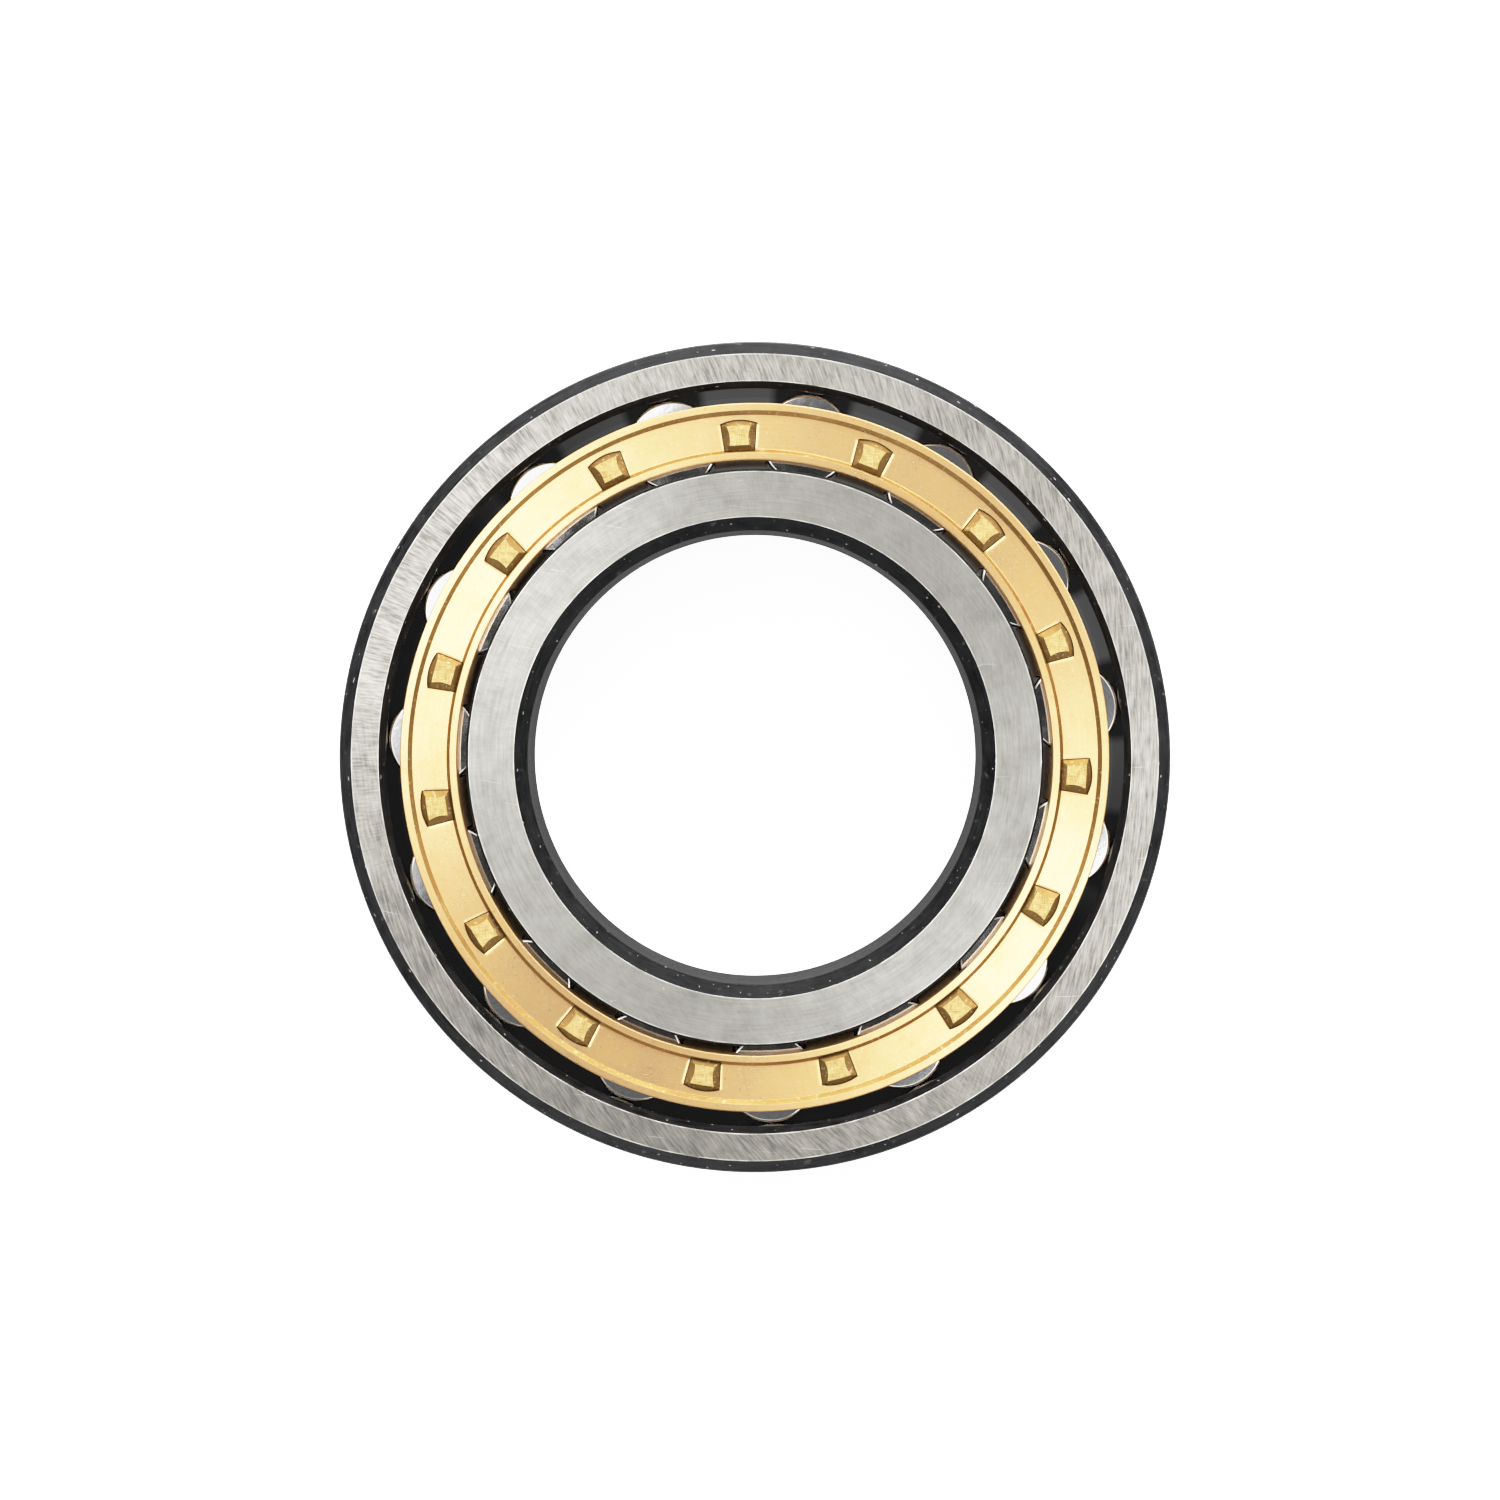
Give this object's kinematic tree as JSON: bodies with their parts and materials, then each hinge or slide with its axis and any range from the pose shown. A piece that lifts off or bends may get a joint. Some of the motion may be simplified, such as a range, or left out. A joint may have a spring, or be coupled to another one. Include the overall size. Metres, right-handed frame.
{
  "type": "cylindrical roller bearing",
  "caption": "Single-row cylindrical roller bearing with a ribless outer ring, a two-rib inner ring and a machined brass cage, free to turn.",
  "frame": {"origin": "centre of the bearing, on its axis, halfway across its width", "axes": "+Z along the bearing's axis towards the cage's end ring, +X and +Y across it"},
  "size_m": [0.11, 0.11, 0.022],
  "materials": {
    "outer_ring_steel": "ground bearing steel",
    "inner_ring_steel": "ground bearing steel",
    "cage_brass": "turned and milled brass",
    "end_ring_brass": "finely turned brass",
    "roller_steel": "superfinished steel"
  },
  "bodies": {
    "outer_ring": {"outer_ring": "outer_ring_steel"},
    "inner_ring": {"inner_ring": "inner_ring_steel"},
    "cage": {"cage_body": "cage_brass", "cage_end_ring": "end_ring_brass"},
    "roller_01": {"roller_01": "roller_steel"},
    "roller_02": {"roller_02": "roller_steel"},
    "roller_03": {"roller_03": "roller_steel"},
    "roller_04": {"roller_04": "roller_steel"},
    "roller_05": {"roller_05": "roller_steel"},
    "roller_06": {"roller_06": "roller_steel"},
    "roller_07": {"roller_07": "roller_steel"},
    "roller_08": {"roller_08": "roller_steel"},
    "roller_09": {"roller_09": "roller_steel"},
    "roller_10": {"roller_10": "roller_steel"},
    "roller_11": {"roller_11": "roller_steel"},
    "roller_12": {"roller_12": "roller_steel"},
    "roller_13": {"roller_13": "roller_steel"},
    "roller_14": {"roller_14": "roller_steel"},
    "roller_15": {"roller_15": "roller_steel"}
  },
  "joints": [
    {"name": "inner_ring_spin", "type": "hinge", "parent": "outer_ring", "child": "inner_ring", "pos_m": [0, 0, 0], "axis": [0, 0, 1], "continuous": true},
    {"name": "cage_spin", "type": "hinge", "parent": "outer_ring", "child": "cage", "pos_m": [0, 0, 0], "axis": [0, 0, 1], "continuous": true},
    {"name": "roller_01_spin", "type": "hinge", "parent": "cage", "child": "roller_01", "pos_m": [0.00683, 0.0422, 0], "axis": [0, 0, 1], "continuous": true},
    {"name": "roller_02_spin", "type": "hinge", "parent": "cage", "child": "roller_02", "pos_m": [-0.01092, 0.04133, 0], "axis": [0, 0, 1], "continuous": true},
    {"name": "roller_03_spin", "type": "hinge", "parent": "cage", "child": "roller_03", "pos_m": [-0.02679, 0.03332, 0], "axis": [0, 0, 1], "continuous": true},
    {"name": "roller_04_spin", "type": "hinge", "parent": "cage", "child": "roller_04", "pos_m": [-0.03802, 0.01954, 0], "axis": [0, 0, 1], "continuous": true},
    {"name": "roller_05_spin", "type": "hinge", "parent": "cage", "child": "roller_05", "pos_m": [-0.04268, 0.00239, 0], "axis": [0, 0, 1], "continuous": true},
    {"name": "roller_06_spin", "type": "hinge", "parent": "cage", "child": "roller_06", "pos_m": [-0.03996, -0.01518, 0], "axis": [0, 0, 1], "continuous": true},
    {"name": "roller_07_spin", "type": "hinge", "parent": "cage", "child": "roller_07", "pos_m": [-0.03033, -0.03012, 0], "axis": [0, 0, 1], "continuous": true},
    {"name": "roller_08_spin", "type": "hinge", "parent": "cage", "child": "roller_08", "pos_m": [-0.01546, -0.03986, 0], "axis": [0, 0, 1], "continuous": true},
    {"name": "roller_09_spin", "type": "hinge", "parent": "cage", "child": "roller_09", "pos_m": [0.00209, -0.0427, 0], "axis": [0, 0, 1], "continuous": true},
    {"name": "roller_10_spin", "type": "hinge", "parent": "cage", "child": "roller_10", "pos_m": [0.01928, -0.03816, 0], "axis": [0, 0, 1], "continuous": true},
    {"name": "roller_11_spin", "type": "hinge", "parent": "cage", "child": "roller_11", "pos_m": [0.03313, -0.02702, 0], "axis": [0, 0, 1], "continuous": true},
    {"name": "roller_12_spin", "type": "hinge", "parent": "cage", "child": "roller_12", "pos_m": [0.04125, -0.01121, 0], "axis": [0, 0, 1], "continuous": true},
    {"name": "roller_13_spin", "type": "hinge", "parent": "cage", "child": "roller_13", "pos_m": [0.04225, 0.00654, 0], "axis": [0, 0, 1], "continuous": true},
    {"name": "roller_14_spin", "type": "hinge", "parent": "cage", "child": "roller_14", "pos_m": [0.03593, 0.02316, 0], "axis": [0, 0, 1], "continuous": true},
    {"name": "roller_15_spin", "type": "hinge", "parent": "cage", "child": "roller_15", "pos_m": [0.02341, 0.03577, 0], "axis": [0, 0, 1], "continuous": true}
  ],
  "couplings": [
    {"joint": "cage_spin", "follows": "inner_ring_spin", "ratio": 0.42983},
    {"joint": "roller_01_spin", "follows": "inner_ring_spin", "ratio": -3.4923},
    {"joint": "roller_02_spin", "follows": "inner_ring_spin", "ratio": -3.4923},
    {"joint": "roller_03_spin", "follows": "inner_ring_spin", "ratio": -3.4923},
    {"joint": "roller_04_spin", "follows": "inner_ring_spin", "ratio": -3.4923},
    {"joint": "roller_05_spin", "follows": "inner_ring_spin", "ratio": -3.4923},
    {"joint": "roller_06_spin", "follows": "inner_ring_spin", "ratio": -3.4923},
    {"joint": "roller_07_spin", "follows": "inner_ring_spin", "ratio": -3.4923},
    {"joint": "roller_08_spin", "follows": "inner_ring_spin", "ratio": -3.4923},
    {"joint": "roller_09_spin", "follows": "inner_ring_spin", "ratio": -3.4923},
    {"joint": "roller_10_spin", "follows": "inner_ring_spin", "ratio": -3.4923},
    {"joint": "roller_11_spin", "follows": "inner_ring_spin", "ratio": -3.4923},
    {"joint": "roller_12_spin", "follows": "inner_ring_spin", "ratio": -3.4923},
    {"joint": "roller_13_spin", "follows": "inner_ring_spin", "ratio": -3.4923},
    {"joint": "roller_14_spin", "follows": "inner_ring_spin", "ratio": -3.4923},
    {"joint": "roller_15_spin", "follows": "inner_ring_spin", "ratio": -3.4923}
  ]
}
